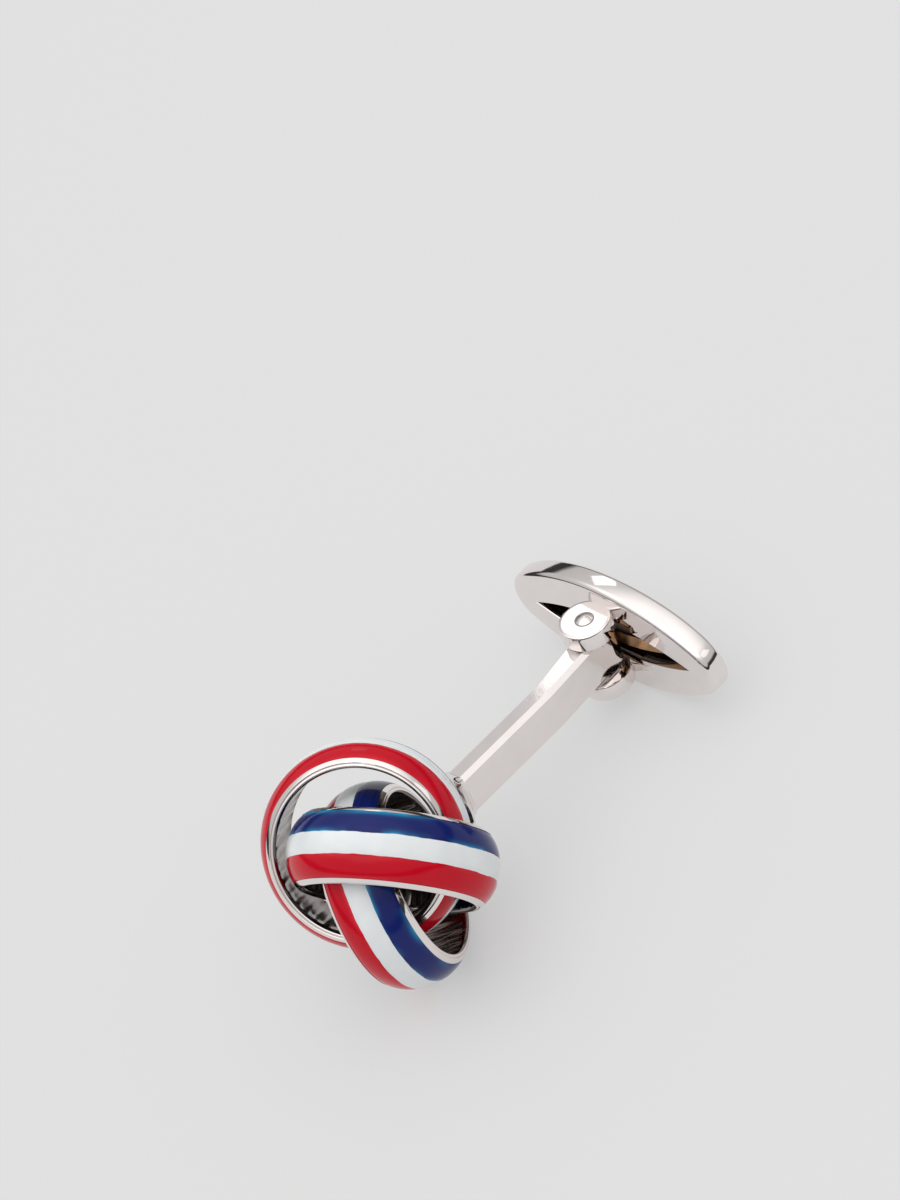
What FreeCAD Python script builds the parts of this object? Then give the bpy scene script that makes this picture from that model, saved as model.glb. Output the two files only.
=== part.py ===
import FreeCAD, Part
import Sketcher
import math
import os

# Swivel-back cufflink with a knot head: three linked hoops, each inlaid with a red, a white
# and a blue enamel stripe, a flat post, and an oval toggle that turns on a riveted pin.
# The link is drawn with the knot's centre at the origin, the front of the knot towards +Z,
# the toggle's long axis along X and the hinge pin along Y. At the end the whole link is laid
# on its side, with the knot and the toggle touching the table.

# Driving dimensions in millimetres, and angles in degrees

SIZES = {
    # knot
    "hoop_outer_r": 6.7,
    "band_width": 4.8,
    "band_thick": 1.4,
    "crown_rise": 1.0,
    "rim_width": 0.28,
    "enamel_thick": 0.22,
    "enamel_gap": 0.01,
    # seat of each hoop: its middle, how far its axis leans from the front, and which way
    "hoop_1_x": -1.858,
    "hoop_1_y": 0.806,
    "hoop_1_z": -0.276,
    "hoop_1_lean_deg": 50.758,
    "hoop_1_turn_deg": 45.173,
    "hoop_2_x": -0.484,
    "hoop_2_y": -2.104,
    "hoop_2_z": -0.082,
    "hoop_2_lean_deg": 48.058,
    "hoop_2_turn_deg": 195.894,
    "hoop_3_x": 0.362,
    "hoop_3_y": 0.388,
    "hoop_3_z": -0.27,
    "hoop_3_lean_deg": 40.213,
    "hoop_3_turn_deg": 302.277,
    # post
    "post_thick": 1.5,
    "post_width": 3.2,
    "post_root_z": 6.25,
    "post_bevel": 0.3,
    "pin_drop": 20.5,
    "pin_sidestep": 0.55,
    "neck_length": 5.2,
    "eye_r": 0.95,
    "eye_drop": 0.6,
    # solder collar where the post meets the knot
    "collar_top_z": 5.75,
    "collar_height": 1.2,
    "collar_top_wall": 0.9,
    "collar_foot_wall": 0.4,
    "solder_gap": 0.02,
    # toggle
    "toggle_half_length": 8.9,
    "toggle_half_width": 4.1,
    "toggle_tip_r": 2.2,
    "pin_height": 1.45,
    "plate_thick": 0.6,
    "plate_edge_r": 0.3,
    "slot_half_length": 6.8,
    "slot_half_width": 1.35,
    "window_margin": 0.4,
    "ear_r": 1.75,
    "ear_thick": 1.2,
    "tongue_gap": 0.05,
    "shell_wall_depth": 0.9,
    "shell_depth": 1.8,
    "shell_wall": 0.7,
    "cavity_depth": 0.8,
    "shell_edge_r": 0.35,
    # hinge pin and leaf spring
    "pin_r": 0.45,
    "pin_head_r": 0.56,
    "pin_head_rise": 0.2,
    "rivet_gap": 0.01,
    "pin_running_gap": 0.04,
    "spring_half_length": 5.0,
    "spring_width": 1.0,
    "spring_thick": 0.2,
    "spring_gap": 0.06,
    "overrun": 1.0,
}

HOOPS = 3
STRIPES = ("red", "white", "blue")

doc = FreeCAD.newDocument("cufflink")
sheet = doc.addObject("Spreadsheet::Sheet", "sizes")
for row, (alias, number) in enumerate(SIZES.items(), 1):
    sheet.set(f"A{row}", alias)
    sheet.set(f"B{row}", str(number))
    sheet.setAlias(f"B{row}", alias)
doc.recompute()


class Size:
    """A length that knows both its value and the sheet formula it comes from."""

    def __init__(self, value, formula):
        self.value = value
        self.formula = formula

    @staticmethod
    def of(thing):
        return thing if isinstance(thing, Size) else Size(float(thing), repr(float(thing)))

    def __add__(self, other):
        other = Size.of(other)
        return Size(self.value + other.value, f"({self.formula} + {other.formula})")

    def __sub__(self, other):
        other = Size.of(other)
        return Size(self.value - other.value, f"({self.formula} - {other.formula})")

    def __mul__(self, other):
        other = Size.of(other)
        return Size(self.value * other.value, f"({self.formula} * {other.formula})")

    def __truediv__(self, other):
        other = Size.of(other)
        return Size(self.value / other.value, f"({self.formula} / {other.formula})")

    def __neg__(self):
        return Size(-self.value, f"(-1 * {self.formula})")

    def root(self):
        return Size(math.sqrt(self.value), f"sqrt({self.formula})")


class Cells:
    """Every cell of the sheet as a Size, read by its alias."""

    def __getattr__(self, alias):
        return Size(float(sheet.get(alias)), f"sizes.{alias}")


cell = Cells()
ZERO = Size.of(0)


def bind(thing, path, size):
    thing.setExpression(path, size.formula)


def new_body(label):
    body = doc.addObject("PartDesign::Body", label)
    body.Label = label
    return body


def arc_middle(start, end, radius, turn):
    """A point on the shorter arc from start to end; turn +1 bulges to the right of the way."""
    chord = end - start
    half = chord.Length / 2
    rise = radius - math.sqrt(max(radius ** 2 - half ** 2, 0))
    right = FreeCAD.Vector(chord.y, -chord.x, 0).normalize()
    return start + chord * 0.5 + right * (rise * turn)


def draw_outline(sketch, corners):
    """Closed outline. A corner is (x, y) or (x, y, radius, turn), where the radius and turn
    make the edge to the next corner an arc. Every corner and radius is bound to the sheet."""
    spots = [FreeCAD.Vector(c[0].value, c[1].value, 0) for c in corners]
    ends = []
    for i, corner in enumerate(corners):
        start, end = spots[i], spots[(i + 1) % len(spots)]
        if len(corner) == 2:
            edge = sketch.addGeometry(Part.LineSegment(start, end))
            ends.append((edge, 1, 2))
            continue
        middle = arc_middle(start, end, corner[2].value, corner[3])
        if corner[3] > 0:
            edge = sketch.addGeometry(Part.Arc(start, middle, end))
            ends.append((edge, 1, 2))
        else:
            edge = sketch.addGeometry(Part.Arc(end, middle, start))
            ends.append((edge, 2, 1))
    for i, (edge, first, _) in enumerate(ends):
        before, _, last = ends[i - 1]
        sketch.addConstraint(Sketcher.Constraint("Coincident", before, last, edge, first))
        for axis, size in (("DistanceX", corners[i][0]), ("DistanceY", corners[i][1])):
            place = sketch.addConstraint(Sketcher.Constraint(axis, -1, 1, edge, first, size.value))
            bind(sketch, f"Constraints[{place}]", size)
        if len(corners[i]) > 2:
            bend = sketch.addConstraint(Sketcher.Constraint("Radius", edge, corners[i][2].value))
            bind(sketch, f"Constraints[{bend}]", corners[i][2])


def draw_circle(sketch, radius):
    circle = Part.Circle(FreeCAD.Vector(), FreeCAD.Vector(0, 0, 1), radius.value)
    edge = sketch.addGeometry(circle)
    sketch.addConstraint(Sketcher.Constraint("Coincident", edge, 3, -1, 1))
    size = sketch.addConstraint(Sketcher.Constraint("Radius", edge, radius.value))
    bind(sketch, f"Constraints[{size}]", radius)


def body_sketch(body, name, role, height=None):
    """A sketch on one of the body's own planes, raised above it by height."""
    sketch = body.newObject("Sketcher::SketchObject", name)
    plane = next(f for f in body.Origin.OriginFeatures if f.Role == role)
    sketch.AttachmentSupport = (plane, [""])
    sketch.MapMode = "FlatFace"
    if height is not None:
        bind(sketch, "AttachmentOffset.Base.z", height)
    return sketch


def turned(body, name, role, corners):
    """A turned feature: the outline goes round the sketch's upright axis."""
    sketch = body_sketch(body, f"{name}_outline", role)
    draw_outline(sketch, corners)
    feature = body.newObject("PartDesign::Revolution", name)
    feature.Profile = sketch
    feature.ReferenceAxis = (sketch, ["V_Axis"])
    feature.Angle = 360
    sketch.Visibility = False
    return feature


def padded(body, name, sketch, length, both_ways=True, reversed_way=False):
    feature = body.newObject("PartDesign::Pad", name)
    feature.Profile = sketch
    bind(feature, "Length", length)
    feature.SideType = "Symmetric" if both_ways else "One side"
    feature.Reversed = reversed_way
    return feature


def pocketed(body, name, sketch, length):
    """A pocket of that total length, half on each side of the sketch."""
    doc.recompute()
    feature = body.newObject("PartDesign::Pocket", name)
    feature.Profile = sketch
    bind(feature, "Length", length)
    feature.SideType = "Symmetric"
    return feature


def oval(half_length, half_width, tip_r):
    """Four-arc oval: two long side arcs that run smoothly into two small tip arcs."""
    reach = half_length - tip_r
    side_r = (reach * reach + half_width * half_width - tip_r * tip_r) / ((half_width - tip_r) * 2)
    share = tip_r / (side_r - tip_r)
    x = reach + reach * share
    y = (side_r - half_width) * share
    return [(x, -y, tip_r, 1), (x, y, side_r, 1), (-x, y, tip_r, 1), (-x, -y, side_r, 1)]


# Hoops of the knot: a turned metal band with a shallow crowned channel between two rims

band_half = cell.band_width / 2
channel_half = band_half - cell.rim_width
crown_r = (band_half * band_half + cell.crown_rise * cell.crown_rise) / (cell.crown_rise * 2)
crown_centre = cell.hoop_outer_r - crown_r
floor_r = crown_r - cell.enamel_thick
band_inner_r = cell.hoop_outer_r - cell.band_thick


def crown_at(radius, along):
    """Distance from the hoop's axis to a crowned face at a place along the band's width."""
    return crown_centre + (radius * radius - along * along).root()


def band_outline():
    rim_foot = crown_at(floor_r, channel_half)
    rim_top = crown_at(crown_r, channel_half)
    edge = cell.hoop_outer_r - cell.crown_rise
    return [
        (band_inner_r, -band_half),
        (edge, -band_half, crown_r, 1),
        (rim_top, -channel_half),
        (rim_foot, -channel_half, floor_r, 1),
        (rim_foot, channel_half),
        (rim_top, channel_half, crown_r, 1),
        (edge, band_half),
        (band_inner_r, band_half),
    ]


def stripe_outline(index):
    """One of three equal enamel stripes; the first lies nearest the front of the knot."""
    gap = cell.enamel_gap
    stripe_width = channel_half * 2 / len(STRIPES)
    high = channel_half - stripe_width * index - gap
    low = channel_half - stripe_width * (index + 1) + gap
    bed_r = floor_r + gap
    return [
        (crown_at(bed_r, low), low),
        (crown_at(crown_r, low), low, crown_r, 1),
        (crown_at(crown_r, high), high),
        (crown_at(bed_r, high), high, bed_r, -1),
    ]


def hoop_place(index):
    """The three hoops are linked by hand, so each one has a lean and a middle of its own."""
    def seat(name):
        return float(sheet.get(f"hoop_{index + 1}_{name}"))

    turn = FreeCAD.Rotation(FreeCAD.Vector(0, 0, 1), seat("turn_deg"))
    lean = FreeCAD.Rotation(FreeCAD.Vector(0, 1, 0), seat("lean_deg"))
    middle = FreeCAD.Vector(seat("x"), seat("y"), seat("z"))
    return FreeCAD.Placement(middle, turn.multiply(lean))


places = {}
hoops = []
for index in range(HOOPS):
    band = new_body(f"knot_band_{index + 1}")
    turned(band, f"band_turn_{index + 1}", "XZ_Plane", band_outline())
    places[band] = hoop_place(index)
    hoops.append(band)
    for order, colour in enumerate(STRIPES):
        stripe = new_body(f"enamel_{colour}_{index + 1}")
        turned(stripe, f"{colour}_turn_{index + 1}", "XZ_Plane", stripe_outline(order))
        places[stripe] = hoop_place(index)


# Post: a flat bar, bent aside at its neck, that ends in a long rounded eye for the hinge pin

half_thick = cell.post_thick / 2
neck_top = cell.neck_length - cell.pin_drop
eye_left = -cell.pin_sidestep - cell.eye_r
eye_right = cell.eye_r - cell.pin_sidestep
pin_level = -cell.pin_drop
eye_level = pin_level - cell.eye_drop

post = new_body("post")
side_view = body_sketch(post, "post_side_view", "XZ_Plane")
draw_outline(side_view, [
    (half_thick, -cell.post_root_z),
    (-half_thick, -cell.post_root_z),
    (-half_thick, neck_top),
    (eye_left, pin_level),
    (eye_left, eye_level, cell.eye_r, 1),
    (-cell.pin_sidestep, eye_level - cell.eye_r, cell.eye_r, 1),
    (eye_right, eye_level),
    (eye_right, pin_level),
    (half_thick, neck_top),
])
bar = padded(post, "post_bar", side_view, cell.post_width)
doc.recompute()
long_edges = []
for number, edge in enumerate(bar.Shape.Edges, 1):
    box = edge.BoundBox
    runs_along = box.ZLength > cell.eye_r.value and box.YLength < cell.post_bevel.value
    above_eye = box.ZMin > pin_level.value - cell.post_bevel.value
    if runs_along and above_eye:
        long_edges.append(f"Edge{number}")
bevel = post.newObject("PartDesign::Chamfer", "post_bevels")
bevel.Base = (bar, long_edges)
bind(bevel, "Size", cell.post_bevel)
pin_hole = body_sketch(post, "post_pin_hole", "XZ_Plane")
bind(pin_hole, "AttachmentOffset.Base.x", -cell.pin_sidestep)
bind(pin_hole, "AttachmentOffset.Base.y", pin_level)
draw_circle(pin_hole, cell.pin_r + cell.pin_running_gap)
pocketed(post, "post_bore", pin_hole, cell.post_width + cell.overrun * 2)
places[post] = FreeCAD.Placement()


# Solder collar: the cone of solder that joins the post to the back of the three hoops

collar_cone = doc.addObject("Part::Cone", "collar_cone")
bind(collar_cone, "Radius1", cell.post_width / 2 + cell.collar_foot_wall)
bind(collar_cone, "Radius2", cell.post_width / 2 + cell.collar_top_wall)
bind(collar_cone, "Height", cell.collar_height)
bind(collar_cone, "Placement.Base.z", -cell.collar_top_z - cell.collar_height)
post_room = doc.addObject("Part::Box", "post_room")
room_x = cell.post_thick + cell.solder_gap * 2
room_y = cell.post_width + cell.solder_gap * 2
room_z = cell.collar_height + cell.overrun * 2
for edge, size in (("Length", room_x), ("Width", room_y), ("Height", room_z)):
    bind(post_room, edge, size)
bind(post_room, "Placement.Base.x", -room_x / 2)
bind(post_room, "Placement.Base.y", -room_y / 2)
bind(post_room, "Placement.Base.z", -cell.collar_top_z - cell.collar_height - cell.overrun)
collar = doc.addObject("Part::Cut", "collar_around_post")
collar.Base = collar_cone
collar.Tool = post_room
for index in range(HOOPS):
    room_out = doc.addObject("Part::Cylinder", f"hoop_room_{index + 1}")
    bind(room_out, "Radius", cell.hoop_outer_r + cell.solder_gap)
    bind(room_out, "Height", cell.band_width + cell.solder_gap * 2)
    room_in = doc.addObject("Part::Cylinder", f"hoop_bore_{index + 1}")
    bind(room_in, "Radius", band_inner_r - cell.solder_gap)
    bind(room_in, "Height", cell.band_width + cell.solder_gap * 2)
    room = doc.addObject("Part::Cut", f"hoop_ring_{index + 1}")
    room.Base = room_out
    room.Tool = room_in
    half_down = FreeCAD.Placement(
        FreeCAD.Vector(0, 0, -band_half.value - cell.solder_gap.value), FreeCAD.Rotation())
    room.Placement = hoop_place(index).multiply(half_down)
    step = doc.addObject("Part::Cut", f"collar_step_{index + 1}")
    step.Base = collar
    step.Tool = room
    collar = step
collar.Label = "solder_collar"
places[collar] = FreeCAD.Placement()


# Toggle, drawn about the hinge pin's middle: a flat plate with two ears, and a domed shell

at_pin = FreeCAD.Placement(
    FreeCAD.Vector(-cell.pin_sidestep.value, 0, pin_level.value), FreeCAD.Rotation())
ear_inner = cell.post_width / 2 + cell.tongue_gap
ear_outer = ear_inner + cell.ear_thick
plate_top = -cell.pin_height
plate_foot = plate_top - cell.plate_thick
toggle_oval = oval(cell.toggle_half_length, cell.toggle_half_width, cell.toggle_tip_r)

plate = new_body("toggle_plate")
plate_plan = body_sketch(plate, "plate_plan", "XY_Plane", plate_top)
draw_outline(plate_plan, toggle_oval)
pad = padded(plate, "plate_pad", plate_plan, cell.plate_thick, both_ways=False, reversed_way=True)
doc.recompute()
rim_edges = []
for number, edge in enumerate(pad.Shape.Edges, 1):
    if edge.BoundBox.ZMin > plate_top.value - cell.plate_edge_r.value:
        rim_edges.append(f"Edge{number}")
eased = plate.newObject("PartDesign::Fillet", "plate_rim")
eased.Base = (pad, rim_edges)
bind(eased, "Radius", cell.plate_edge_r)
slot_plan = body_sketch(plate, "slot_plan", "XY_Plane", plate_top)
slot_r = (cell.slot_half_length * cell.slot_half_length
          + cell.slot_half_width * cell.slot_half_width) / (cell.slot_half_width * 2)
draw_outline(slot_plan, [
    (-cell.slot_half_length, ZERO, slot_r, 1),
    (cell.slot_half_length, ZERO, slot_r, 1),
])
pocketed(plate, "plate_slot", slot_plan, cell.plate_thick * 2 + cell.overrun)
ear_view = body_sketch(plate, "ear_view", "XZ_Plane")
ear_foot_half = (cell.ear_r * cell.ear_r - cell.pin_height * cell.pin_height).root()
draw_outline(ear_view, [
    (ear_foot_half, plate_foot),
    (ear_foot_half, plate_top, cell.ear_r, 1),
    (cell.ear_r, ZERO, cell.ear_r, 1),
    (ZERO, cell.ear_r, cell.ear_r, 1),
    (-cell.ear_r, ZERO, cell.ear_r, 1),
    (-ear_foot_half, plate_top),
    (-ear_foot_half, plate_foot),
])
padded(plate, "ear_block", ear_view, ear_outer * 2)
window_view = body_sketch(plate, "window_view", "XZ_Plane")
window_x = cell.ear_r + cell.window_margin
draw_outline(window_view, [
    (-window_x, plate_foot - cell.overrun),
    (window_x, plate_foot - cell.overrun),
    (window_x, cell.ear_r + cell.overrun),
    (-window_x, cell.ear_r + cell.overrun),
])
pocketed(plate, "ear_window", window_view, ear_inner * 2)
ear_hole = body_sketch(plate, "ear_hole", "XZ_Plane")
draw_circle(ear_hole, cell.pin_r + cell.rivet_gap)
pocketed(plate, "ear_bore", ear_hole, ear_outer * 2 + cell.overrun)
places[plate] = at_pin


def oval_block(name, half_length, half_width, tip_r, top, depth):
    """An upright oval block from a flat sketch, reaching down from top."""
    sketch = doc.addObject("Sketcher::SketchObject", f"{name}_plan")
    bind(sketch, "Placement.Base.z", top)
    draw_outline(sketch, oval(half_length, half_width, tip_r))
    block = doc.addObject("Part::Extrusion", name)
    block.Base = sketch
    block.DirMode = "Custom"
    block.Dir = FreeCAD.Vector(0, 0, -1)
    bind(block, "LengthFwd", depth)
    block.Solid = True
    return block


shell_block = oval_block("shell_block", cell.toggle_half_length, cell.toggle_half_width,
                         cell.toggle_tip_r, plate_foot, cell.shell_depth)
dome = doc.addObject("Part::Ellipsoid", "shell_dome")
depth_share = cell.shell_wall_depth / cell.shell_depth
spread = (Size.of(1) - depth_share * depth_share).root()
bind(dome, "Radius1", cell.shell_depth)
bind(dome, "Radius2", cell.toggle_half_length / spread)
bind(dome, "Radius3", cell.toggle_half_width / spread)
bind(dome, "Placement.Base.z", plate_foot)
domed = doc.addObject("Part::Common", "shell_domed")
domed.Base = shell_block
domed.Tool = dome
cavity = oval_block("shell_cavity", cell.toggle_half_length - cell.shell_wall,
                    cell.toggle_half_width - cell.shell_wall,
                    cell.toggle_tip_r - cell.shell_wall, plate_foot, cell.cavity_depth)
doc.recompute()
rounded = doc.addObject("Part::Fillet", "shell_rounded")
rounded.Base = domed
dome_edges = []
for number, edge in enumerate(domed.Shape.Edges, 1):
    box = edge.BoundBox
    if box.ZMax < plate_foot.value - cell.shell_edge_r.value and box.XLength > cell.shell_edge_r.value:
        dome_edges.append((number, cell.shell_edge_r.value, cell.shell_edge_r.value))
rounded.Edges = dome_edges
shell = doc.addObject("Part::Cut", "shell_hollow")
shell.Base = rounded
shell.Tool = cavity
shell.Label = "toggle_shell"
places[shell] = at_pin


# Hinge pin: a rivet with a low domed head outside each ear

pin = new_body("hinge_pin")
head_level = ear_outer + cell.rivet_gap
head_top = head_level + cell.pin_head_rise
head_crown_r = (cell.pin_head_r * cell.pin_head_r + cell.pin_head_rise * cell.pin_head_rise) / (
    cell.pin_head_rise * 2)
turned(pin, "pin_turn", "XY_Plane", [
    (ZERO, -head_top, head_crown_r, 1),
    (cell.pin_head_r, -head_level),
    (cell.pin_r, -head_level),
    (cell.pin_r, head_level),
    (cell.pin_head_r, head_level, head_crown_r, 1),
    (ZERO, head_top),
])
places[pin] = at_pin


# Leaf spring: a bowed strip in the shell that presses up against the post's eye

spring = new_body("leaf_spring")
strip_view = body_sketch(spring, "strip_view", "XZ_Plane")
strip_foot = plate_foot - cell.cavity_depth + cell.spring_gap
strip_rise = -cell.eye_drop - cell.eye_r - cell.spring_gap - cell.spring_thick - strip_foot
bow_r = (cell.spring_half_length * cell.spring_half_length + strip_rise * strip_rise) / (strip_rise * 2)
draw_outline(strip_view, [
    (cell.spring_half_length, strip_foot),
    (cell.spring_half_length, strip_foot + cell.spring_thick, bow_r, 1),
    (-cell.spring_half_length, strip_foot + cell.spring_thick),
    (-cell.spring_half_length, strip_foot, bow_r, -1),
])
padded(spring, "strip_pad", strip_view, cell.spring_width)
places[spring] = at_pin


# Check the whole document before anything is placed or written

doc.recompute()
for thing in doc.Objects:
    if "Invalid" in thing.State or "Error" in thing.State:
        raise RuntimeError(f"{thing.Label} failed: {thing.State}")
for thing in places:
    if thing.Shape.isNull() or not thing.Shape.isValid():
        raise RuntimeError(f"{thing.Label} has no valid shape")

# Lay the link on its side: the front of the knot towards +X, the pin upright, then tip it
# until the knot and the toggle both touch the table

knot = Part.makeCompound([t.Shape.transformed(places[t].toMatrix()) for t in places
                          if t.Label.startswith(("knot_band", "enamel"))])
toggle = Part.makeCompound([t.Shape.transformed(places[t].toMatrix()) for t in (plate, shell)])
on_side = FreeCAD.Placement(FreeCAD.Vector(), FreeCAD.Rotation(
    FreeCAD.Vector(0, 1, 0), FreeCAD.Vector(0, 0, 1), FreeCAD.Vector(1, 0, 0), "ZXY"))


def lowest(shape, laid):
    return shape.transformed(laid.toMatrix()).optimalBoundingBox(False).ZMin


TIP_STEPS = 6
tip = 0.0
for _ in range(TIP_STEPS):
    laid = FreeCAD.Placement(
        FreeCAD.Vector(), FreeCAD.Rotation(FreeCAD.Vector(0, 1, 0), tip)).multiply(on_side)
    drop = lowest(toggle, laid) - lowest(knot, laid)
    tip -= math.degrees(drop / cell.pin_drop.value)
everything = Part.makeCompound([t.Shape.transformed(places[t].toMatrix()) for t in places])
box = everything.transformed(laid.toMatrix()).optimalBoundingBox(False)
laid.Base = FreeCAD.Vector(-box.Center.x, -box.Center.y, -box.ZMin)

os.makedirs("parts", exist_ok=True)
for thing, place in places.items():
    thing.Placement = laid.multiply(place)
doc.recompute()
for thing in places:
    solids = len(thing.Shape.Solids)
    thing.Shape.exportStep(f"parts/{thing.Label}.step")
    print(f"{thing.Label}: {solids} solid, {thing.Shape.Volume:.3f} mm3")

pin_middle = laid.multiply(at_pin).Base
pin_axis = laid.Rotation.multVec(FreeCAD.Vector(0, 1, 0))
post_axis = laid.Rotation.multVec(FreeCAD.Vector(0, 0, 1))
print("tip", tip, "box", box.XLength, box.YLength, box.ZLength)
print("pin middle", tuple(pin_middle), "axis", tuple(pin_axis))
print("knot centre", tuple(laid.Base), "post axis", tuple(post_axis))
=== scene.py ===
import math
import bpy
import bmesh
from mathutils import Matrix, Vector, noise


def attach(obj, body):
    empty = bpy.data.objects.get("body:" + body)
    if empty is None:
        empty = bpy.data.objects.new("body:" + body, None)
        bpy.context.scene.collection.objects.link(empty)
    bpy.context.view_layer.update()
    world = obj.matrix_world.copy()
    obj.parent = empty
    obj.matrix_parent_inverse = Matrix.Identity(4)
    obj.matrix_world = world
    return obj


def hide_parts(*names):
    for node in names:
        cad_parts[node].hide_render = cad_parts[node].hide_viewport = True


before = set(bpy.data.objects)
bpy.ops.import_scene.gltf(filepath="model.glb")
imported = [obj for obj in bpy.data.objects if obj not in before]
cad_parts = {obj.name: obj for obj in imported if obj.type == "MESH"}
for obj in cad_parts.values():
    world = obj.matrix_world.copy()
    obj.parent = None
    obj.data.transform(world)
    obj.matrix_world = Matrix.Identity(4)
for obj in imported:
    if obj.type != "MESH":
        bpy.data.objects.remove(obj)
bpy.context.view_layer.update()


# Knot hoops: three bands of base metal, cast as rings and linked through each other.
# Each is rhodium plated and polished, with a channel round its crowned outer face for enamel
# and fluted casting marks left on its inner face. Solder holds the three to the post.

# lengths are in millimetres, except where a name or a comment says metres
MM = 0.001
# along the toggle, along its pin, and along the post towards the front of the knot
TOGGLE_WAY = Vector((0, 1, 0))
PIN_WAY = Vector((-0.2042235, 0, 0.9789243))
FRONT_WAY = Vector((0.9789243, 0, 0.2042235))
KNOT_CENTRE = Vector((8.98549, 0.55, 8.76985))
# middle of each hoop, how far its axis leans from the front of the knot, and which way
HOOP_SEATS = (
    ((-1.858, 0.806, -0.276), 50.758, 45.173),
    ((-0.484, -2.104, -0.082), 48.058, 195.894),
    ((0.362, 0.388, -0.270), 40.213, 302.277),
)
HOOP_OUTER_R = 6.7
BAND_INNER_R = 5.3
BAND_HALF = 2.4
CROWN_RISE = 1.0
CROWN_R = (BAND_HALF ** 2 + CROWN_RISE ** 2) / (2 * CROWN_RISE)
CHANNEL_HALF = 2.12
CHANNEL_LIP = 0.012
ENAMEL_DEPTH = 0.22
# radius and place along the axis of one rim: its inner edge, bead, groove, second bead and lip
RIM_SECTION = (
    (5.30, 2.14), (5.33, 2.24), (5.38, 2.33), (5.44, 2.385), (5.51, BAND_HALF), (5.57, 2.39),
    (5.61, 2.35), (5.635, 2.29), (5.66, 2.35), (5.70, 2.36), (5.76, 2.31), (5.84, 2.24),
    (5.91, 2.17), (5.945, CHANNEL_HALF + CHANNEL_LIP), (5.93, CHANNEL_HALF),
)
CHANNEL_ROWS = (1.4, 0.7, 0, -0.7, -1.4)
INNER_ROWS = (-1.9, -0.95, 0, 0.95, 1.9)
FINE_FLUTES = 44
FINE_FLUTE_DEPTH = 0.05
COARSE_FLUTES = 17
COARSE_FLUTE_DEPTH = 0.03
# noise that makes the fine flutes wander: its strength, and where it is read for each hoop
FLUTE_WANDER = 3.0
WANDER_SPREAD = 3
WANDER_SHIFT = 7.3
RING_STEPS = 288


def laid_down(middle):
    """From a piece's own millimetres, with its middle at zero, to metres on the table."""
    axes = Matrix((TOGGLE_WAY, PIN_WAY, FRONT_WAY)).transposed().to_4x4()
    return Matrix.Scale(MM, 4) @ Matrix.Translation(middle) @ axes


def hoop_place(number):
    middle, lean_deg, turn_deg = HOOP_SEATS[number]
    turn = Matrix.Rotation(math.radians(turn_deg), 4, "Z")
    lean = Matrix.Rotation(math.radians(lean_deg), 4, "Y")
    return laid_down(KNOT_CENTRE) @ Matrix.Translation(middle) @ turn @ lean


def crown(along, depth=0.0):
    """Distance from the hoop's axis to its crowned face, or to a face that far below it."""
    return HOOP_OUTER_R - CROWN_R + math.sqrt((CROWN_R - depth) ** 2 - along ** 2)


def flute(angle, number):
    """Depth of the casting marks on a band's inner face."""
    x, y = WANDER_SPREAD * math.cos(angle), WANDER_SPREAD * math.sin(angle)
    wander = FLUTE_WANDER * noise.noise(Vector((x, y, WANDER_SHIFT * number)))
    fine = FINE_FLUTE_DEPTH * math.cos(FINE_FLUTES * angle + wander)
    coarse = COARSE_FLUTE_DEPTH * math.cos(COARSE_FLUTES * angle + number)
    return FINE_FLUTE_DEPTH + fine + coarse


def band_section(angle, number):
    rim = [*RIM_SECTION, (crown(CHANNEL_HALF, ENAMEL_DEPTH), CHANNEL_HALF)]
    floor = [(crown(along, ENAMEL_DEPTH), along) for along in CHANNEL_ROWS]
    inner = [(BAND_INNER_R + flute(angle, number), along) for along in INNER_ROWS]
    return inner + rim + floor + [(radius, -along) for radius, along in reversed(rim)]


def finish_mesh(name, points, faces, sharp_deg):
    """Piece from its points and faces, smooth but for the edges that turn more sharply."""
    mesh = bpy.data.meshes.new(name)
    mesh.from_pydata(points, [], faces)
    shaped = bmesh.new()
    shaped.from_mesh(mesh)
    bmesh.ops.recalc_face_normals(shaped, faces=shaped.faces)
    shaped.to_mesh(mesh)
    shaped.free()
    mesh.shade_smooth()
    mesh.set_sharp_from_angle(angle=math.radians(sharp_deg))
    piece = bpy.data.objects.new(name, mesh)
    bpy.context.collection.objects.link(piece)
    return piece


def turned_ring(name, section_at, place, sharp_deg=40):
    """Ring from a closed section of (radius, along) points that may change on the way round."""
    points = []
    for step in range(RING_STEPS):
        angle = 2 * math.pi * step / RING_STEPS
        for radius, along in section_at(angle):
            points.append(place @ Vector((radius * math.cos(angle), radius * math.sin(angle), along)))
    width = len(points) // RING_STEPS
    faces = []
    for step in range(RING_STEPS):
        here, there = step * width, (step + 1) % RING_STEPS * width
        for i in range(width):
            j = (i + 1) % width
            faces.append((here + i, there + i, there + j, here + j))
    return finish_mesh(name, points, faces, sharp_deg)


def bare_material(name):
    material = bpy.data.materials.new(name)
    material.use_nodes = True
    return material, material.node_tree, material.node_tree.nodes["Principled BSDF"]


def clouds(tree, scale, detail):
    """Cloudy pattern that stays with the piece when it moves."""
    spot = tree.nodes.new("ShaderNodeTexCoord")
    cloud = tree.nodes.new("ShaderNodeTexNoise")
    cloud.inputs["Scale"].default_value = scale
    cloud.inputs["Detail"].default_value = detail
    tree.links.new(spot.outputs["Object"], cloud.inputs["Vector"])
    return cloud.outputs["Fac"]


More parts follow.
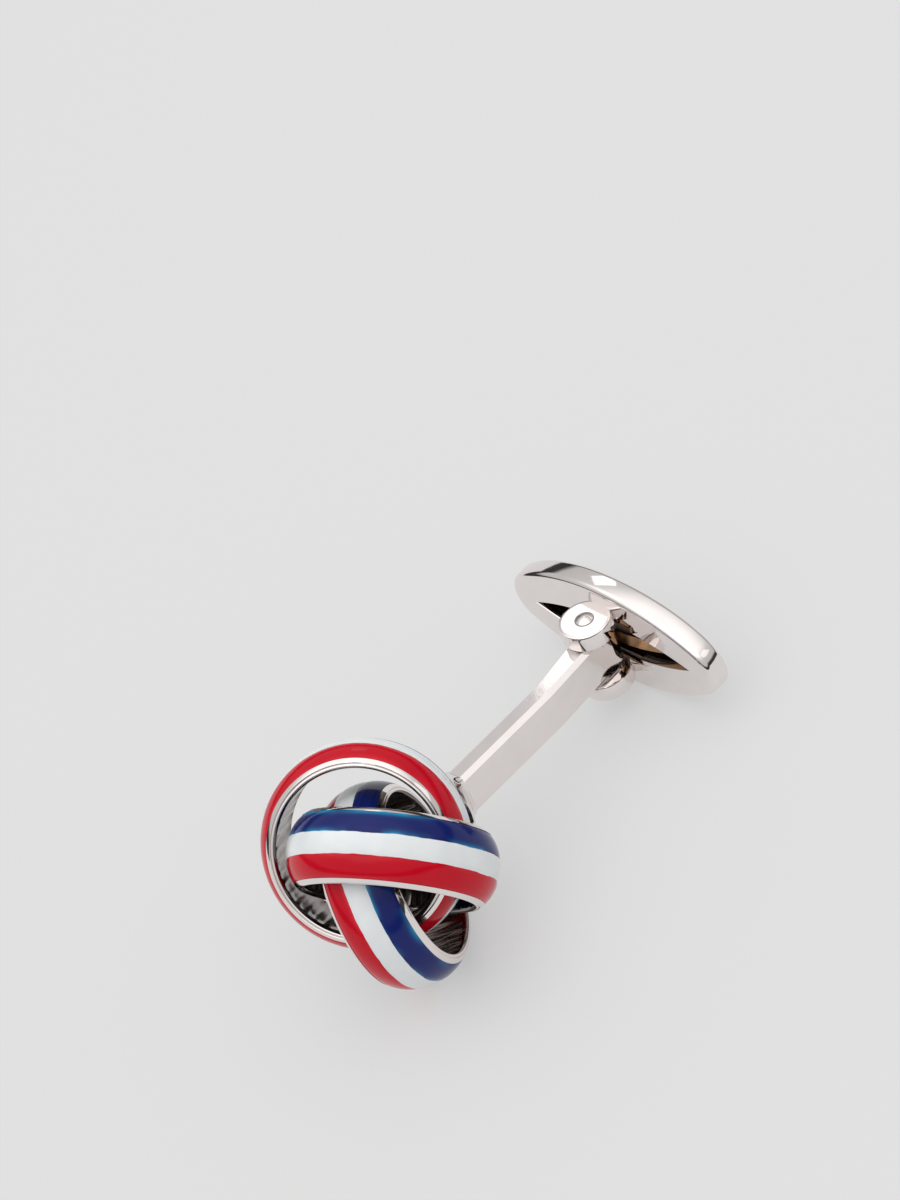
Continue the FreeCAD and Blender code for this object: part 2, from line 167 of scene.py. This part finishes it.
def cloudy_colour(tree, cloud, colour, darkest_share, lightest_share):
    """The colour, drifting with the clouds between a darker and a lighter shade of it."""
    shade = tree.nodes.new("ShaderNodeMix")
    shade.data_type = "RGBA"
    shade.inputs["A"].default_value = (*[c * darkest_share for c in colour], 1)
    shade.inputs["B"].default_value = (*[min(c * lightest_share, 1) for c in colour], 1)
    tree.links.new(cloud, shade.inputs["Factor"])
    return shade.outputs["Result"]


def uneven_skin(tree, shader, cloud, strength, depth):
    skin = tree.nodes.new("ShaderNodeBump")
    skin.inputs["Strength"].default_value = strength
    skin.inputs["Distance"].default_value = depth * MM
    tree.links.new(cloud, skin.inputs["Height"])
    tree.links.new(skin.outputs["Normal"], shader.inputs["Normal"])


PLATE_DETAIL = 4
PLATE_SKIN_DEPTH = 0.02
SMOOTHEST_SHARE = 0.6
ROUGHEST_SHARE = 1.5
DARKEST_PLATE_SHARE = 0.94
LIGHTEST_PLATE_SHARE = 1.04


def plated_metal(name, tint, roughness, ripple, scale):
    """Bright plate: clear reflections, faint polishing marks and a slightly uneven skin."""
    material, tree, shader = bare_material(name)
    shader.inputs["Metallic"].default_value = 1
    cloud = clouds(tree, scale, PLATE_DETAIL)
    polish = tree.nodes.new("ShaderNodeMapRange")
    polish.inputs["To Min"].default_value = roughness * SMOOTHEST_SHARE
    polish.inputs["To Max"].default_value = roughness * ROUGHEST_SHARE
    tree.links.new(cloud, polish.inputs["Value"])
    tree.links.new(polish.outputs["Result"], shader.inputs["Roughness"])
    shade = cloudy_colour(tree, cloud, tint, DARKEST_PLATE_SHARE, LIGHTEST_PLATE_SHARE)
    tree.links.new(shade, shader.inputs["Base Color"])
    uneven_skin(tree, shader, cloud, ripple, PLATE_SKIN_DEPTH)
    return material


rhodium = plated_metal(
    "rhodium_plate", tint=(0.86, 0.805, 0.785), roughness=0.07, ripple=0.25, scale=700)
# painted shade: the inner faces, and the rings round the pin heads, get a much darker plate that stands
# for the shade and dark reflections there
shaded_inside = plated_metal(
    "inside_painted_shade", tint=(0.24, 0.215, 0.2), roughness=0.17, ripple=0.5, scale=900)
# rows of faces at the start and at the end of the section, on the fluted inner face, that get the
# painted shade
FIRST_SHADED_ROWS = 8
LAST_SHADED_ROWS = 4
for number in range(len(HOOP_SEATS)):
    band = turned_ring(
        f"knot_hoop_{number + 1}", lambda angle, n=number: band_section(angle, n), hoop_place(number))
    band.data.materials.append(rhodium)
    band.data.materials.append(shaded_inside)
    row_count = len(band.data.polygons) // RING_STEPS
    for face in band.data.polygons:
        row = face.index % row_count
        face.material_index = int(row < FIRST_SHADED_ROWS or row >= row_count - LAST_SHADED_ROWS)
    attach(band, "link")
    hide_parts(f"knot_band_{number + 1}")


# Enamel stripes: soft enamel in red, white and blue, filled into each hoop's channel by hand
# and cured to a gloss. The colours meet along slightly uneven lines, and each stands a little
# proud in its middle.

# name, colour in the middle of the stripe, and colour of the painted glint along its upper edges
STRIPES = (
    ("red", (0.61, 0.004, 0.018), (0.74, 0.03, 0.05)),
    ("white", (0.87, 0.90, 0.92), (0.83, 0.86, 0.89)),
    ("blue", (0.009, 0.017, 0.140), (0.02, 0.42, 0.76)),
)
RIM_CLEARANCE = 0.004
STRIPE_CLEARANCE = 0.002
FLOOR_CLEARANCE = 0.01
EDGE_SINK = 0.03
MIDDLE_SWELL = 0.045
SWELL_POWER = 4
# noise that makes the colour lines uneven: a slow wave, a fine ripple, and where they are read
LINE_WAVE = 0.05
LINE_RIPPLE = 0.025
WAVE_SPREAD = 4
RIPPLE_FINENESS = 4
HOOP_SHIFT = 3.1
LINE_SHIFT = 11
STRIPE_STEPS = 12
STRIPE_SHARES = [step / STRIPE_STEPS for step in range(STRIPE_STEPS + 1)]
STRIPE_SHARP_DEG = 50


def colour_line(angle, number, line):
    """Place across the band of the edge between two colours; the outer two lie on the rims."""
    half = CHANNEL_HALF - RIM_CLEARANCE
    straight = half - 2 * half * line / len(STRIPES)
    if line in (0, len(STRIPES)):
        return straight
    x, y = WAVE_SPREAD * math.cos(angle), WAVE_SPREAD * math.sin(angle)
    spot = Vector((x, y, HOOP_SHIFT * number + LINE_SHIFT * line))
    ripple = noise.noise(spot * RIPPLE_FINENESS)
    return straight + LINE_WAVE * noise.noise(spot) + LINE_RIPPLE * ripple


def stripe_section(angle, number, order):
    high = colour_line(angle, number, order) - STRIPE_CLEARANCE
    low = colour_line(angle, number, order + 1) + STRIPE_CLEARANCE
    floor_depth = ENAMEL_DEPTH - FLOOR_CLEARANCE
    top = []
    for share in STRIPE_SHARES:
        along = low + (high - low) * share
        swell = 1 - (2 * share - 1) ** SWELL_POWER
        top.append((crown(along) - EDGE_SINK + MIDDLE_SWELL * swell, along))
    return [(crown(low, floor_depth), low)] + top + [(crown(high, floor_depth), high)]


ENAMEL_ROUGHNESS = 0.14
ENAMEL_SPECULAR = 0.15
ENAMEL_COAT = 0.12
COAT_ROUGHNESS = 0.03
ENAMEL_SCALE = 450
ENAMEL_DETAIL = 5
ENAMEL_RIPPLE = 0.25
ENAMEL_SKIN_DEPTH = 0.04
DARKEST_ENAMEL_SHARE = 0.88
LIGHTEST_ENAMEL_SHARE = 1.12
PATCH_SCALE = 260
PATCH_DETAIL = 2
PATCH_START = 0.44
PATCH_FULL = 0.62


def gloss_enamel(name, colour, glint_colour):
    """Glossy enamel, a little cloudy in its depth, with a painted glint in places along its upper edges.
    """
    material, tree, shader = bare_material(name)
    shader.inputs["Roughness"].default_value = ENAMEL_ROUGHNESS
    shader.inputs["Specular IOR Level"].default_value = ENAMEL_SPECULAR
    shader.inputs["Coat Weight"].default_value = ENAMEL_COAT
    shader.inputs["Coat Roughness"].default_value = COAT_ROUGHNESS
    edge = tree.nodes.new("ShaderNodeAttribute")
    edge.attribute_name = "painted_glint_edge"
    patches = tree.nodes.new("ShaderNodeMapRange")
    patches.inputs["From Min"].default_value = PATCH_START
    patches.inputs["From Max"].default_value = PATCH_FULL
    tree.links.new(clouds(tree, PATCH_SCALE, PATCH_DETAIL), patches.inputs["Value"])
    glint = tree.nodes.new("ShaderNodeMath")
    glint.operation = "MULTIPLY"
    tree.links.new(edge.outputs["Fac"], glint.inputs[0])
    tree.links.new(patches.outputs["Result"], glint.inputs[1])
    cloud = clouds(tree, ENAMEL_SCALE, ENAMEL_DETAIL)
    shade = cloudy_colour(tree, cloud, colour, DARKEST_ENAMEL_SHARE, LIGHTEST_ENAMEL_SHARE)
    # painted glint: the glint colour is mixed in along the upper edges, in patches
    with_glint = tree.nodes.new("ShaderNodeMix")
    with_glint.data_type = "RGBA"
    tree.links.new(glint.outputs["Value"], with_glint.inputs["Factor"])
    tree.links.new(shade, with_glint.inputs["A"])
    with_glint.inputs["B"].default_value = (*glint_colour, 1)
    tree.links.new(with_glint.outputs["Result"], shader.inputs["Base Color"])
    uneven_skin(tree, shader, cloud, ENAMEL_RIPPLE, ENAMEL_SKIN_DEPTH)
    return material


# how far the painted glint colour shows round a stripe's section: only along its two upper edges
GLINT_POWER = 5
GLINT_EDGE = [0.0] + [abs(2 * share - 1) ** GLINT_POWER for share in STRIPE_SHARES] + [0.0]
for order, (colour_name, colour, glint_colour) in enumerate(STRIPES):
    enamel = gloss_enamel(f"{colour_name}_enamel", colour, glint_colour)
    for number in range(len(HOOP_SEATS)):
        stripe = turned_ring(
            f"{colour_name}_stripe_{number + 1}",
            lambda angle, n=number, o=order: stripe_section(angle, n, o),
            hoop_place(number), STRIPE_SHARP_DEG)
        stripe.data.materials.append(enamel)
        glint_share = stripe.data.attributes.new("painted_glint_edge", "FLOAT", "POINT")
        glint_share.data.foreach_set("value", GLINT_EDGE * RING_STEPS)
        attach(stripe, "link")
        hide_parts(f"enamel_{colour_name}_{number + 1}")


# Post: a cast flat bar, bevelled along its edges and bent aside at the neck, where it ends in
# the eye for the hinge pin. It is plated and polished with the knot.

EASE_FROM_DEG = 35
POST_EASE = 0.13
POST_EASE_STEPS = 4


def ease_edges(name, finish, width, steps=2):
    """Gives a solid of the part its finish and rounds its edges as polishing does."""
    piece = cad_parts[name]
    piece.data.materials.clear()
    piece.data.materials.append(finish)
    edge = piece.modifiers.new("eased_edges", "BEVEL")
    edge.width = width * MM
    edge.segments = steps
    edge.limit_method = "ANGLE"
    edge.angle_limit = math.radians(EASE_FROM_DEG)


ease_edges("post", rhodium, POST_EASE, POST_EASE_STEPS)


# Solder: silver solder run in where the post's root meets the backs of the three hoops. It has
# set as a slightly lumpy cone, square where it clings to the post and round towards the knot.

# level from the knot's centre, half width each way, and roundness: 1 is round, less is squarer
SOLDER_STEPS = (
    (-7.0, 0.79, 1.63, 0.3), (-6.92, 0.84, 1.68, 0.4), (-6.78, 0.93, 1.74, 0.5),
    (-6.6, 1.08, 1.83, 0.65), (-6.4, 1.32, 1.96, 0.8), (-6.2, 1.62, 2.12, 0.9),
    (-6.0, 1.92, 2.26, 1.0), (-5.82, 2.06, 2.3, 1.0), (-5.66, 1.96, 2.14, 1.0),
    (-5.54, 1.65, 1.76, 1.0), (-5.47, 1.1, 1.2, 1.0), (-5.44, 0.5, 0.55, 1.0),
)
SOLDER_ROUND = 72
SOLDER_SHARP_DEG = 60
# noise that makes the solder lumpy: its share of the width, and where it is read
LUMP_SHARE = 0.07
LUMP_SPREAD = 2
LUMP_STRETCH = 1.5
link_place = laid_down(KNOT_CENTRE)
solder_points = []
for level, half_x, half_y, roundness in SOLDER_STEPS:
    for step in range(SOLDER_ROUND):
        angle = 2 * math.pi * step / SOLDER_ROUND
        way_x, way_y = math.cos(angle), math.sin(angle)
        spot = Vector((LUMP_SPREAD * way_x, LUMP_SPREAD * way_y, LUMP_STRETCH * level))
        lump = 1 + LUMP_SHARE * noise.noise(spot)
        x = half_x * lump * math.copysign(abs(way_x) ** roundness, way_x)
        y = half_y * lump * math.copysign(abs(way_y) ** roundness, way_y)
        solder_points.append(link_place @ Vector((x, y, level)))
solder_faces = []
for ring in range(len(SOLDER_STEPS) - 1):
    here, there = ring * SOLDER_ROUND, (ring + 1) * SOLDER_ROUND
    for step in range(SOLDER_ROUND):
        beside = (step + 1) % SOLDER_ROUND
        solder_faces.append((here + step, here + beside, there + beside, there + step))
solder_faces.append(tuple(range(SOLDER_ROUND)))
solder_faces.append(tuple(range(len(solder_points) - SOLDER_ROUND, len(solder_points))))
solder = finish_mesh("solder_fillet", solder_points, solder_faces, SOLDER_SHARP_DEG)
solder.data.materials.append(rhodium)
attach(solder, "link")
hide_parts("solder_collar")


# Toggle: an oval base-metal casting, hollow inside, with a flat slotted face, a softly rounded
# side wall and a shallow dome for a back. It is plated and polished outside; the hollow is left
# rough and dull, and its colour is darkened as painted shade inside the hollow.

PIN_MIDDLE = Vector((-11.08246, 0, 4.58327))
TOGGLE_HALF_LENGTH = 8.9
TOGGLE_HALF_WIDTH = 4.1
TOGGLE_TIP_R = 2.2
TIP_CENTRE = TOGGLE_HALF_LENGTH - TOGGLE_TIP_R
TOGGLE_SIDE_R = (TIP_CENTRE ** 2 + TOGGLE_HALF_WIDTH ** 2 - TOGGLE_TIP_R ** 2) / (
    2 * (TOGGLE_HALF_WIDTH - TOGGLE_TIP_R))
# levels are measured from the pin and fall towards the back of the toggle
FACE_LEVEL = -1.45
WALL_FOOT = -2.05
HOLLOW_FLOOR = -2.85
HOLLOW_WALL = 0.7
DOME_DEPTH = 1.8
# how far out on the dome's full oval the edge of the toggle cuts it off
DOME_SPREAD_SHARE = math.sqrt(0.75)
SLOT_HALF_LENGTH = 6.8
SLOT_HALF_WIDTH = 1.35
SLOT_SIDE_R = (SLOT_HALF_LENGTH ** 2 + SLOT_HALF_WIDTH ** 2) / (2 * SLOT_HALF_WIDTH)
WINDOW_HALF_LENGTH = 2.15
WINDOW_HALF_WIDTH = 1.65
FLOOR_SHARES = (0.35, 0.7)
# inset from the hollow's wall and rise over its floor, round the corner between the two
HOLLOW_CORNER = ((0.2, 0.0), (0.05, 0.06), (0.0, 0.2))
CEILING_EASE = 0.05
# how far out from the slot and how far below the face, over the slot's eased edge
SLOT_EDGE = ((0.0, 0.08), (0.03, 0.025), (0.09, 0.0))
FACE_INSET = 0.45
RIM_R = 0.38
RIM_STEPS = 6
WALL_SKIRT = 0.2
DOME_EDGE_R = 0.32
# share of the oval, and lift off the dome as a share of its edge's radius
DOME_EDGE = ((1.0, 0.62), (0.997, 0.4), (0.989, 0.2), (0.975, 0.07), (0.955, 0.015))
DOME_SHARES = (0.93, 0.86, 0.77, 0.66, 0.54, 0.42, 0.3, 0.18, 0.08)
TOGGLE_STEPS = 360
TOGGLE_SHARP_DEG = 35
# rows of faces, from the middle of the hollow's floor outwards, that get the rough finish with painted
# shade
HOLLOW_ROWS = 9
NEXT_TO_NOTHING = 1e-6


def ray_to_arc(way, centre, radius):
    along = way.dot(centre)
    return along + math.sqrt(along ** 2 - centre.length_squared + radius ** 2)


def oval_reach(angle, inset=0.0):
    """Distance from the middle of the toggle to its four-arc oval edge, or to one inset."""
    way = Vector((abs(math.cos(angle)), abs(math.sin(angle))))
    share = (TOGGLE_TIP_R - inset) / (TOGGLE_SIDE_R - TOGGLE_TIP_R)
    turn = math.atan2((TOGGLE_SIDE_R - TOGGLE_HALF_WIDTH) * share, TIP_CENTRE * (1 + share))
    if math.atan2(way.y, way.x) < turn:
        return ray_to_arc(way, Vector((TIP_CENTRE, 0)), TOGGLE_TIP_R - inset)
    side_centre = Vector((0, TOGGLE_HALF_WIDTH - TOGGLE_SIDE_R))
    return ray_to_arc(way, side_centre, TOGGLE_SIDE_R - inset)


def slot_reach(angle, outset=0.0):
    """Distance from the middle to the edge of the lens-shaped slot with its wide window."""
    way = Vector((abs(math.cos(angle)), abs(math.sin(angle))))
    lens = ray_to_arc(way, Vector((0, SLOT_HALF_WIDTH - SLOT_SIDE_R)), SLOT_SIDE_R)
    window_end = WINDOW_HALF_LENGTH / max(way.x, NEXT_TO_NOTHING)
    window_side = WINDOW_HALF_WIDTH / max(way.y, NEXT_TO_NOTHING)
    return max(lens, min(window_end, window_side)) + outset


def face_middle_reach(angle):
    return 0.5 * (slot_reach(angle) + oval_reach(angle, FACE_INSET))


def dome_level(x, y):
    share_x = x * DOME_SPREAD_SHARE / TOGGLE_HALF_LENGTH
    share_y = y * DOME_SPREAD_SHARE / TOGGLE_HALF_WIDTH
    return WALL_FOOT - DOME_DEPTH * math.sqrt(max(1 - share_x ** 2 - share_y ** 2, 0))


def flat_loops():
    """Reach and level of each loop from the hollow's floor, out of the slot and down the wall."""
    loops = []
    for share in FLOOR_SHARES:
        loops.append((lambda a, s=share: s * oval_reach(a, HOLLOW_WALL), HOLLOW_FLOOR))
    for inset, rise in HOLLOW_CORNER:
        loops.append((lambda a, i=inset: oval_reach(a, HOLLOW_WALL + i), HOLLOW_FLOOR + rise))
    loops.append((lambda a: oval_reach(a, HOLLOW_WALL), WALL_FOOT - CEILING_EASE))
    loops.append((lambda a: oval_reach(a, HOLLOW_WALL + CEILING_EASE), WALL_FOOT))
    loops.append((lambda a: slot_reach(a, CEILING_EASE), WALL_FOOT))
    loops.append((slot_reach, WALL_FOOT + CEILING_EASE))
    for outset, drop in SLOT_EDGE:
        loops.append((lambda a, o=outset: slot_reach(a, o), FACE_LEVEL - drop))
    loops.append((face_middle_reach, FACE_LEVEL))
    loops.append((lambda a: oval_reach(a, FACE_INSET), FACE_LEVEL))
    for step in range(1, RIM_STEPS + 1):
        bend = math.pi / 2 * step / RIM_STEPS
        inset, drop = RIM_R * (1 - math.sin(bend)), RIM_R * (1 - math.cos(bend))
        loops.append((lambda a, i=inset: oval_reach(a, i), FACE_LEVEL - drop))
    loops.append((oval_reach, WALL_FOOT - WALL_SKIRT))
    return loops


# even steps round the oval, and one at each corner of the window
lens_at_window = SLOT_HALF_WIDTH - SLOT_SIDE_R + math.sqrt(SLOT_SIDE_R ** 2 - WINDOW_HALF_LENGTH ** 2)
toggle_angles = {2 * math.pi * step / TOGGLE_STEPS for step in range(TOGGLE_STEPS)}
for corner_y in (WINDOW_HALF_WIDTH, lens_at_window):
    corner = math.atan2(corner_y, WINDOW_HALF_LENGTH)
    toggle_angles |= {corner, math.pi - corner, math.pi + corner, 2 * math.pi - corner}
toggle_angles = sorted(toggle_angles)
toggle_place = laid_down(PIN_MIDDLE)
toggle_points = [toggle_place @ Vector((0, 0, HOLLOW_FLOOR))]
toggle_rows = []


def lay_row(reach_at, level_at):
    """Adds one loop of points round the toggle."""
    row = []
    for angle in toggle_angles:
        reach = reach_at(angle)
        x, y = reach * math.cos(angle), reach * math.sin(angle)
        row.append(len(toggle_points))
        toggle_points.append(toggle_place @ Vector((x, y, level_at(x, y))))
    toggle_rows.append(row)


for reach_at, level in flat_loops():
    lay_row(reach_at, lambda x, y: level)
for share, lift_share in DOME_EDGE:
    lay_row(lambda a: share * oval_reach(a), lambda x, y: dome_level(x, y) + lift_share * DOME_EDGE_R)
for share in DOME_SHARES:
    lay_row(lambda a: share * oval_reach(a), dome_level)
dome_top = len(toggle_points)
toggle_points.append(toggle_place @ Vector((0, 0, dome_level(0, 0))))
row_size = len(toggle_angles)
toggle_faces = []
for i in range(row_size):
    toggle_faces.append((0, toggle_rows[0][i], toggle_rows[0][(i + 1) % row_size]))
for inner, outer in zip(toggle_rows, toggle_rows[1:]):
    for i in range(row_size):
        j = (i + 1) % row_size
        toggle_faces.append((inner[i], outer[i], outer[j], inner[j]))
for i in range(row_size):
    toggle_faces.append((toggle_rows[-1][i], dome_top, toggle_rows[-1][(i + 1) % row_size]))
# painted shade: the hollow's rough skin is tinted dark for the shade inside the hollow
shaded_hollow_skin = plated_metal(
    "hollow_rough_painted_shade", tint=(0.26, 0.2, 0.17), roughness=0.42, ripple=0.8, scale=1500)
toggle_body = finish_mesh("toggle_body", toggle_points, toggle_faces, TOGGLE_SHARP_DEG)
toggle_body.data.materials.append(rhodium)
toggle_body.data.materials.append(shaded_hollow_skin)
for face in toggle_body.data.polygons:
    face.material_index = int(face.index < row_size * HOLLOW_ROWS)
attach(toggle_body, "toggle")
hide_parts("toggle_plate", "toggle_shell")


# Ears: two round lugs cast on the toggle's face, one at each side of the slot's window, bored
# for the hinge pin and dressed flat on the outside. They are plated with the toggle.

EAR_INNER = WINDOW_HALF_WIDTH
EAR_OUTER = 2.85
EAR_R = 1.75
EAR_ROOT = 0.1
EAR_ROUND = 64
EAR_SHARP_DEG = 30
# inset from the ear's round and distance from its flat, over the eased edge at either flat
EAR_INNER_EDGE = ((0.1, 0.0), (0.03, 0.03), (0.0, 0.1))
EAR_OUTER_EDGE = ((0.0, 0.16), (0.05, 0.05), (0.16, 0.0), (0.22, 0.0))


def ear_outline(inset):
    """Side view of an ear: a disc about the pin, set a little way into the toggle's face."""
    radius = EAR_R - inset
    start = math.asin(FACE_LEVEL / radius)
    foot_half = radius * math.cos(start)
    outline = [(foot_half, FACE_LEVEL - EAR_ROOT)]
    for step in range(EAR_ROUND + 1):
        turn = start + (math.pi - 2 * start) * step / EAR_ROUND
        outline.append((radius * math.cos(turn), radius * math.sin(turn)))
    return outline + [(-foot_half, FACE_LEVEL - EAR_ROOT)]


def ear_mesh(name, way):
    layers = [(inset, EAR_INNER + off) for inset, off in EAR_INNER_EDGE]
    layers += [(inset, EAR_OUTER - off) for inset, off in EAR_OUTER_EDGE]
    points, rings = [], []
    for inset, across in layers:
        ring = []
        for x, z in ear_outline(inset):
            ring.append(len(points))
            points.append(toggle_place @ Vector((x, way * across, z)))
        rings.append(ring)
    size = len(rings[0])
    faces = [tuple(rings[0]), tuple(reversed(rings[-1]))]
    for low, high in zip(rings, rings[1:]):
        for i in range(size):
            j = (i + 1) % size
            faces.append((low[i], high[i], high[j], low[j]))
    return finish_mesh(name, points, faces, EAR_SHARP_DEG)


for name, way in (("ear_upper", 1), ("ear_lower", -1)):
    ear = ear_mesh(name, way)
    ear.data.materials.append(rhodium)
    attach(ear, "toggle")


# Hinge pin: a steel rivet through both ears and the post's eye, peened over outside the ears
# and plated with the rest. A fine dark ring round each head is painted shade, standing for the shadow in
# the corner there.

PIN_EASE = 0.05
PIN_LINE_INNER = 0.565
PIN_LINE_OUTER = 0.65
PIN_LINE_SUNK = 0.04
PIN_LINE_PROUD = 0.006


def pin_line_section(way):
    low, high = way * (EAR_OUTER - PIN_LINE_SUNK), way * (EAR_OUTER + PIN_LINE_PROUD)
    return [(PIN_LINE_INNER, low), (PIN_LINE_OUTER, low), (PIN_LINE_OUTER, high), (PIN_LINE_INNER, high)]


ease_edges("hinge_pin", rhodium, PIN_EASE)
pin_place = toggle_place @ Matrix.Rotation(math.radians(-90), 4, "X")
# painted shade: a thin dark ring round each pin head, for the shadow in the corner there
for name, way in (("pin_painted_shade_upper", 1), ("pin_painted_shade_lower", -1)):
    pin_line = turned_ring(name, lambda angle, w=way: pin_line_section(w), pin_place)
    pin_line.data.materials.append(shaded_inside)
    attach(pin_line, "toggle")


# Spring: a bowed strip of bronze laid in the toggle's hollow. It presses on the post's eye and
# snaps the toggle straight.

SPRING_EASE = 0.02
# painted shade: the bronze is tinted darker than bare bronze, for the shade of the toggle's hollow
shaded_bronze = plated_metal(
    "spring_bronze_painted_shade", tint=(0.42, 0.25, 0.13), roughness=0.3, ripple=0.3, scale=900)
ease_edges("leaf_spring", shaded_bronze, SPRING_EASE)


# Table: a wide sheet of matt, pale grey paper under the cufflink. It keeps the soft shadow, and
# is as pale in the plated metal's reflections as it is to the eye.

TABLE_HALF_M = 3
TABLE_GREY = (0.76, 0.76, 0.76, 1)
TABLE_ROUGHNESS = 0.8
GLOW_SHARE = 0.55
corners_m = [
    (-TABLE_HALF_M, -TABLE_HALF_M, 0), (TABLE_HALF_M, -TABLE_HALF_M, 0),
    (TABLE_HALF_M, TABLE_HALF_M, 0), (-TABLE_HALF_M, TABLE_HALF_M, 0),
]
table_mesh = bpy.data.meshes.new("table")
table_mesh.from_pydata(corners_m, [], [(0, 1, 2, 3)])
table = bpy.data.objects.new("table", table_mesh)
bpy.context.collection.objects.link(table)
paper, paper_tree, paper_shader = bare_material("pale_grey")
paper_shader.inputs["Base Color"].default_value = TABLE_GREY
paper_shader.inputs["Roughness"].default_value = TABLE_ROUGHNESS
paper_shader.inputs["Specular IOR Level"].default_value = 0
table_mesh.materials.append(paper)
glow = paper_tree.nodes.new("ShaderNodeEmission")
glow.inputs["Color"].default_value = TABLE_GREY
glow.inputs["Strength"].default_value = 1
ray = paper_tree.nodes.new("ShaderNodeLightPath")
seen = paper_tree.nodes.new("ShaderNodeMath")
seen.operation = "MAXIMUM"
paper_tree.links.new(ray.outputs["Is Camera Ray"], seen.inputs[0])
paper_tree.links.new(ray.outputs["Is Glossy Ray"], seen.inputs[1])
part_glow = paper_tree.nodes.new("ShaderNodeMath")
part_glow.operation = "MULTIPLY"
part_glow.inputs[1].default_value = GLOW_SHARE
paper_tree.links.new(seen.outputs["Value"], part_glow.inputs[0])
lit_paper = paper_tree.nodes.new("ShaderNodeMixShader")
paper_tree.links.new(part_glow.outputs["Value"], lit_paper.inputs["Fac"])
paper_tree.links.new(paper_shader.outputs["BSDF"], lit_paper.inputs[1])
paper_tree.links.new(glow.outputs["Emission"], lit_paper.inputs[2])
paper_tree.links.new(lit_paper.outputs["Shader"], paper_tree.nodes["Material Output"].inputs["Surface"])


# Light: a studio that is dark low down and bright overhead, with two soft boxes, and two small
# white cards that put a clean light on the ears and along the edge of the post.

SKY_STRENGTH = 1.25
SKY_HORIZON = 0.03
SKY_OVERHEAD = 1.0
# height between the horizon at 0 and overhead at 1, and how bright the sky is there
SKY_LEVELS = ((0.15, 0.03), (0.23, 0.45), (0.45, 0.48), (0.6, 0.54), (0.8, 1.0))
# name, place and size in metres, and power in watts
LAMPS = (
    ("card_over_ears", (-0.0662, -0.0585, 0.0558), (0.018, 0.018), 0.0008),
    ("card_along_post", (-0.207, 0.26, 0.222), (0.1, 0.1), 0.014),
    ("box_right", (0.3, 0.1, 0.35), (0.2, 0.2), 0.05),
    ("box_top", (0.0, 0.0, 0.5), (0.3, 0.3), 0.1),
)
LAMP_AIM_M = Vector((0, 0, 0.007))


def grey_of(level):
    return (level, level, level, 1)


studio = bpy.data.worlds.new("studio")
bpy.context.scene.world = studio
studio.use_nodes = True
sky = studio.node_tree
sky_way = sky.nodes.new("ShaderNodeTexCoord")
sky_split = sky.nodes.new("ShaderNodeSeparateXYZ")
sky.links.new(sky_way.outputs["Generated"], sky_split.inputs["Vector"])
sky_ramp = sky.nodes.new("ShaderNodeValToRGB")
stops = sky_ramp.color_ramp.elements
stops[0].position = 0
stops[0].color = grey_of(SKY_HORIZON)
stops[1].position = 1
stops[1].color = grey_of(SKY_OVERHEAD)
for height, level in SKY_LEVELS:
    stops.new(height).color = grey_of(level)
sky.links.new(sky_split.outputs["Z"], sky_ramp.inputs["Fac"])
sky.links.new(sky_ramp.outputs["Color"], sky.nodes["Background"].inputs["Color"])
sky.nodes["Background"].inputs["Strength"].default_value = SKY_STRENGTH
for name, spot, size, power in LAMPS:
    lamp = bpy.data.lights.new(name, "AREA")
    lamp.shape = "RECTANGLE"
    lamp.size, lamp.size_y = size
    lamp.energy = power
    box = bpy.data.objects.new(name, lamp)
    box.location = spot
    box.rotation_euler = (LAMP_AIM_M - Vector(spot)).to_track_quat("-Z", "Y").to_euler()
    bpy.context.collection.objects.link(box)


# Camera: a long lens well above the table, turned so that the post runs up to the right and
# the knot lies nearest. Its place follows from where the knot's centre falls in the picture.

PICTURE_WIDTH = 900
PICTURE_HEIGHT = 1200
# the knot's centre in the picture, in pixels from its top left corner
KNOT_ACROSS = 388.0
KNOT_DOWN = 865.6
PIXELS_PER_MM = 16.08
VIEW_DISTANCE = 500
SENSOR_HEIGHT = 36
NEAREST_M = 0.01
# the picture's right and up, as shares of the toggle's way, the pin's and the front's
RIGHT_SHARES = (0.6920, -0.2929, -0.6599)
UP_SHARES = (-0.3140, 0.7009, -0.6405)


def mixed_way(shares):
    return shares[0] * TOGGLE_WAY + shares[1] * PIN_WAY + shares[2] * FRONT_WAY


side_way = mixed_way(RIGHT_SHARES)
up_way = mixed_way(UP_SHARES)
to_viewer = side_way.cross(up_way).normalized()
side_way = side_way.normalized()
up_way = to_viewer.cross(side_way)
aside = (PICTURE_WIDTH / 2 - KNOT_ACROSS) / PIXELS_PER_MM
above = (KNOT_DOWN - PICTURE_HEIGHT / 2) / PIXELS_PER_MM
aim = KNOT_CENTRE + side_way * aside + up_way * above
camera_lens = bpy.data.cameras.new("camera")
camera_lens.sensor_fit = "VERTICAL"
camera_lens.sensor_height = SENSOR_HEIGHT
camera_lens.lens = PIXELS_PER_MM * VIEW_DISTANCE * SENSOR_HEIGHT / PICTURE_HEIGHT
camera_lens.clip_start = NEAREST_M
camera = bpy.data.objects.new("camera", camera_lens)
facing = Matrix((side_way, up_way, to_viewer)).transposed().to_4x4()
camera.matrix_world = Matrix.Translation((aim + to_viewer * VIEW_DISTANCE) * MM) @ facing
bpy.context.collection.objects.link(camera)
bpy.context.scene.camera = camera
bpy.context.scene.view_settings.view_transform = "Standard"
